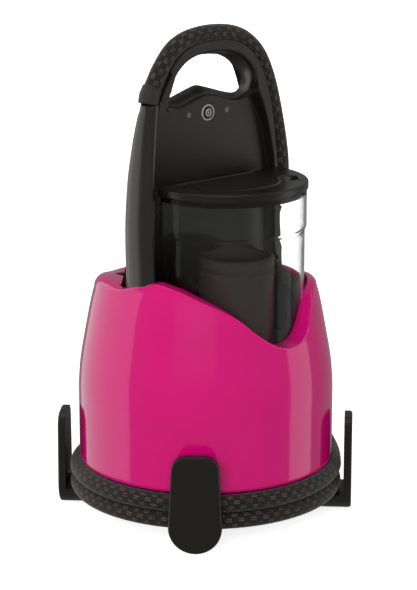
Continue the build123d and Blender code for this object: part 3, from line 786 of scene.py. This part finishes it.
def tower():
    loop, normals = arch_loop()
    front = catmull(mirrored(HOLE_FRONT), SPAN, True)
    back = catmull([(x, z, BACK_Y) for x, z in mirrored(HOLE_BACK)], SPAN, True)
    columns = []
    for outer, normal, f, b in zip(loop, normals, front, back):
        column = []
        for i in range(WALL_ROWS + 1):
            y = lerp(BACK_Y, FRONT_Y, 0.5 - 0.5 * cos(pi * i / WALL_ROWS))
            y_wall = min(max(y, FRONT_Y + 0.2), BACK_Y - 0.2)
            radius = EDGE_R if y < 0 else BACK_EDGE_R
            depth = min(BACK_Y - y, y - FRONT_Y)
            round_off = radius - sqrt(max(0.0, radius ** 2 - max(0.0, radius - depth) ** 2))
            n = relief_of_edge(outer, normal, y_wall) - round_off
            p = beside_riser(outer + normal * n, y_wall)
            column.append((p.x, y, p.y))
        edge_front = Vector((column[-1][0], column[-1][2], 0))
        edge_back = Vector((column[0][0], column[0][2], 0))
        rim = Vector((f.x, f.y, 0))
        out_dir = (edge_front - rim).normalized()
        round_r = min(3.2, (edge_front - rim).length * 0.4)
        start = rim + out_dir * round_r
        for i in range(1, FACE_ROWS + 1):
            p = edge_front.lerp(start, i / FACE_ROWS)
            y = front_depth(p.x, p.y)
            y = lerp(y, f.z, ease(i, FACE_ROWS - 8, FACE_ROWS))
            column.append((p.x, y, p.y))
        for i in range(1, 7):
            a = pi / 2 * i / 6
            p = start + (rim - start) * sin(a)
            column.append((p.x, f.z + round_r * (1 - cos(a)), p.y))
        far = Vector((b.x, b.y, 0))
        for i in range(1, HOLE_ROWS + 1):
            t = i / HOLE_ROWS
            p = rim.lerp(far, t * t * (3 - 2 * t))
            column.append((p.x, lerp(f.z + round_r, BACK_Y - 2.5, t), p.y))
        out_dir = (edge_back - far).normalized()
        for i in range(1, 5):
            a = pi / 2 * i / 4
            p = far + out_dir * 2.5 * (1 - cos(a))
            column.append((p.x, BACK_Y - 2.5 + 2.5 * sin(a), p.y))
        begin = far + out_dir * 2.5
        for i in range(1, BACK_ROWS):
            p = begin.lerp(edge_back, i / BACK_ROWS)
            column.append((p.x, back_depth(p.x, p.y), p.y))
        columns.append(column)
    piece = skin("tower_shell", columns, M["black_satin"], ring_of_rows=True)
    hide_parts("tower_frame", "control_panel")
    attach(piece, "base")


HOSE_ON_ARCH = [p / MM for p in hose_line[:round(0.34 / HOSE_STEP)]]
HOSE_TREE = kdtree.KDTree(len(HOSE_ON_ARCH))
for index, point in enumerate(HOSE_ON_ARCH):
    HOSE_TREE.insert((point.x, 0, point.z), index)
HOSE_TREE.balance()
tower()


# ---- water tank, its lid and the filter cartridge -----------------------------------------------
TANK_C = Vector((0, -27, 0))
TANK_BACK_Y, TANK_STEP_Z = -15.6, 260.0
LEFT_CORNER_R, RIGHT_CORNER_R = 9.5, 5.0
FRONT_POINTS, CORNER_POINTS, BACK_POINTS = 120, 12, 16


def d_outline(radius, inset):
    """Plan of the tank: round front, flat back, rounded back corners, moved in by inset."""
    radius -= inset
    back = TANK_BACK_Y - inset
    arcs = []
    for side, corner in ((1, RIGHT_CORNER_R), (-1, LEFT_CORNER_R)):
        r = max(corner - inset, 1.0)
        y = back - r
        x = sqrt((radius - r) ** 2 - (y - TANK_C.y) ** 2)
        arcs.append((side * x, y, r, asin((y - TANK_C.y) / (radius - r))))
    (rx, ry, rr, ra), (lx, ly, lr, la) = arcs
    points = []
    for i in range(FRONT_POINTS):
        a = lerp(ra, -pi - la, i / FRONT_POINTS)
        points.append(Vector((radius * cos(a), TANK_C.y + radius * sin(a), 0)))
    for i in range(CORNER_POINTS):
        a = lerp(pi - la, pi / 2, i / CORNER_POINTS)
        points.append(Vector((lx + lr * cos(a), ly + lr * sin(a), 0)))
    for i in range(BACK_POINTS):
        points.append(Vector((lerp(lx, rx, i / BACK_POINTS), back, 0)))
    for i in range(CORNER_POINTS):
        a = lerp(pi / 2, ra, i / CORNER_POINTS)
        points.append(Vector((rx + rr * cos(a), ry + rr * sin(a), 0)))
    return points


def level(outline, z):
    return [(p.x, p.y, z) for p in outline]


def shrunk(outline, share, z):
    return [tuple(TANK_C.lerp(p, share).to_2d()) + (z,) for p in outline]


def water_tank():
    """Clear container with a moulded step, and a floor that closes at its middle."""
    low, high, wall = 67.5, 69.0, 2.5
    step = TANK_STEP_Z
    rows = [shrunk(d_outline(low, 0), share, 135) for share in (0.02, 0.5, 0.95)]
    outside = [(low - 1.6, 135.0), (low - 0.5, 135.6), (low, 137.0)]
    outside += [(low, 137 + i * 12) for i in range(1, 10)]
    outside += [(low, step - 2.0), (low + 0.25, step - 1.2), (high - 0.25, step - 0.4), (high, step + 0.4)]
    outside += [(high, step + 3 + i * 6) for i in range(5)] + [(high, 292.2), (high - 0.4, 292.8)]
    rows += [level(d_outline(r, 0), z) for r, z in outside]
    inside = [(high, 292.8), (high, 292.2)] + [(high, step + 30 - i * 7) for i in range(5)]
    inside += [(high, step + 1.0), (low, step - 1.0)] + [(low, step - 8 - i * 16) for i in range(7)]
    inside += [(low, 139.2), (low - 0.6, 138.0), (low - 1.8, 137.5)]
    rows += [level(d_outline(r, wall), z) for r, z in inside]
    rows += [shrunk(d_outline(low, wall), share, 137.5) for share in (0.95, 0.5, 0.02)]
    piece = skin("tank_shell", rows, M["clear_tank"], caps=True)
    piece.visible_shadow = False
    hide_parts("water_tank")
    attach(piece, "tank")


water_tank()

LID_BOTTOM, LID_TOP = 293.0, 300.0
SKIRT_Z = 288.2           # lower edge of the rim that reaches into the tank
LID_EDGE_R = 1.8
LID_R, LID_BACK_Y = 70.3, -16.0
FILLER_C, FILLER_R = Vector((-6, -46, 0)), 24.0
POCKET_Z = 296.2
POCKET = [(-50, -18.7), (40, -18.7), (37, -26), (34.5, -48), (27.5, -61.2), (14.2, -71.4), (-8, -74),
          (-32.2, -67), (-46.5, -58.2), (-46.5, -26)]
RIDGE = [(-40, -60.5), (-33, -65.6), (-21, -72.2), (-10, -74.6), (2, -74.7), (15.5, -71.8), (27.6, -63),
         (37, -52.5), (44, -50), (50, -54.5), (51, -63), (44, -70)]
DIMPLE, DIMPLE_R = Vector((39.5, -60.5, 0)), 9.6
NOTCH = Vector((-45.5, -60.6, 0))


def ray_to_lid(a):
    """Distance from the filler's middle to the lid's edge in one direction."""
    u = Vector((cos(a), sin(a), 0))
    c = FILLER_C - TANK_C
    reach = -c.dot(u) + sqrt(c.dot(u) ** 2 - c.length_squared + LID_R ** 2)
    if u.y > 0:
        reach = min(reach, (LID_BACK_Y - FILLER_C.y) / u.y)
    if u.y - u.x > 0:
        reach = min(reach, (50 + FILLER_C.x - FILLER_C.y) / (u.y - u.x))
    return reach


def ray_to_outline(a, outline):
    """Distance from the filler's middle to a closed outline in one direction."""
    u = Vector((cos(a), sin(a), 0))
    best = 1e9
    for p, q in zip(outline, outline[1:] + outline[:1]):
        p, q = Vector((p[0], p[1], 0)) - FILLER_C, Vector((q[0], q[1], 0)) - FILLER_C
        edge = q - p
        cross = u.x * edge.y - u.y * edge.x
        if abs(cross) < 1e-9:
            continue
        t = (p.x * edge.y - p.y * edge.x) / cross
        s = (p.x * u.y - p.y * u.x) / cross
        if t > 0 and -1e-6 <= s <= 1 + 1e-6:
            best = min(best, t)
    return best


def lid_relief(x, y):
    """Height of the lid's top: a ridge round the flap and its finger dimple."""
    p = Vector((x, y, 0))
    near = min((p - q).length for q in RIDGE_LINE)
    z = LID_TOP + 0.9 * exp(-(near / 1.5) ** 2)
    d = (p - DIMPLE).length / DIMPLE_R
    z -= 4.8 * (1 - ease(d, 0.25, 1.05))
    return z - 2.4 * (1 - ease((p - NOTCH).length, 0.8, 2.2))


RIDGE_LINE = catmull([(x, y, 0) for x, y in RIDGE], 8, False)
LID_TURNS, TOP_ROWS = 320, 34


def tank_lid():
    corners = [atan2(y - FILLER_C.y, x - FILLER_C.x) for x, y in POCKET]
    angles = sorted([tau * i / LID_TURNS - pi for i in range(LID_TURNS)] + corners)
    columns = []
    for a in angles:
        u = Vector((cos(a), sin(a), 0))
        edge = ray_to_lid(a)
        pocket = min(ray_to_outline(a, POCKET), edge - 1.2)
        section = [(edge - 4.1, LID_BOTTOM), (edge - 0.6, LID_BOTTOM), (edge, LID_BOTTOM + 0.7)]
        section += [(edge, LID_BOTTOM + k) for k in (2.0, 3.5)]
        for k in range(7):
            turn = pi * k / 12
            height = LID_TOP - LID_EDGE_R + LID_EDGE_R * sin(turn)
            section.append((edge - LID_EDGE_R * (1 - cos(turn)), height))
        outer, inner = edge - LID_EDGE_R, pocket + 0.25
        for k in range(1, TOP_ROWS):
            rho = lerp(outer, inner, k / TOP_ROWS) if outer > inner else inner
            p = FILLER_C + u * rho
            section.append((rho, lid_relief(p.x, p.y)))
        section += [(pocket, LID_TOP - 0.35), (pocket, POCKET_Z + 0.3), (pocket - 0.3, POCKET_Z)]
        section += [(FILLER_R + 0.8, POCKET_Z), (FILLER_R, POCKET_Z - 0.8), (FILLER_R, LID_BOTTOM)]
        skirt_in, skirt_out = min(edge - 6.1, edge * 0.9), min(edge - 4.1, edge * 0.94)
        section += [(skirt_in, LID_BOTTOM), (skirt_in, SKIRT_Z), (skirt_out, SKIRT_Z)]
        columns.append([tuple((FILLER_C + u * rho).to_2d()) + (z,) for rho, z in section])
    piece = skin("lid_moulding", columns, M["lid_black"], ring_of_rows=True)
    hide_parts("tank_lid")
    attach(piece, "tank")
    for side, x in (("left", -48), ("right", 30)):
        knuckle = lathe("hinge_knuckle_" + side, (x, -21.5, 298.1), (1, 0, 0),
                        [(1.05, 0), (1.7, 0), (1.85, 0.3), (1.85, 7.7), (1.7, 8), (1.05, 8)],
                        M["black_satin"], 24)
        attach(knuckle, "tank")


tank_lid()


def filter_cartridge():
    """Drum with a groove near its top and a dished end."""
    profile = [(8, 138.2), (30.5, 138.2), (31.6, 139), (32, 140.5)]
    profile += [(32, z) for z in range(150, 226, 15)]
    profile += [(32, 227), (31.2, 227.8), (31.2, 228.6), (32, 229.4), (32, 237.6), (31.5, 239.2), (30.2, 240)]
    profile += [(28.2, 240), (27.2, 239.2), (26.8, 237.6), (26.8, 232)]
    profile += [(25.6, 230.6), (6, 229.8), (0.4, 229.8)]
    piece = lathe("filter_body", (-10, -51.5, 0), (0, 0, 1), profile, M["filter_black"], 96)
    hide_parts("filter_cartridge")
    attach(piece, "tank")


filter_cartridge()


# ---- power button -----------------------------------------------------------------------------
BUTTON_AT = (0, 0, BUTTON_Z)


def button_parts():
    cap = lathe("button_cap", BUTTON_AT, (0, -1, 0),
                [(5.6, -1.1), (5.6, 3.4), (5.45, 3.9), (5.0, 4.2), (3.6, 4.05), (2.0, 3.95), (0.1, 3.9)],
                M["black_gloss"], 64)
    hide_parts("power_button")
    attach(cap, "power_button")
    mark = lathe("power_symbol", BUTTON_AT, (0, -1, 0), [(2.4, 3.9), (2.4, 4.25), (3.1, 4.25), (3.1, 3.9)],
                 M["white_print"], 40)
    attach(mark, "power_button")
    stroke = lathe("power_symbol_stroke", (0, -4.05, 352.9), (0, 0, 1),
                   [(0.05, 0), (0.35, 0.1), (0.35, 2.1), (0.05, 2.2)], M["white_print"], 16)
    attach(stroke, "power_button")
    halo = lathe("button_halo", BUTTON_AT, (0, -1, 0),
                 [(5.75, -0.3), (5.75, 3.5), (5.95, 3.75), (6.75, 3.7), (7.0, 3.4), (7.0, 0.6)],
                 M["white_light"], 64)
    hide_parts("button_light_ring")
    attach(halo, "base")


button_parts()


# ---- carried-over CAD pieces ----------------------------------------------------------------
SLOT_OF = {part["node"]: part["material_slot"] for part in frame["record"]["subparts"]}


def finish_cad_pieces():
    for name, piece in frame["nodes"].items():
        material = M.get(SLOT_OF.get(name), M["black_satin"])
        for slot in piece.material_slots:
            slot.material = material


finish_cad_pieces()
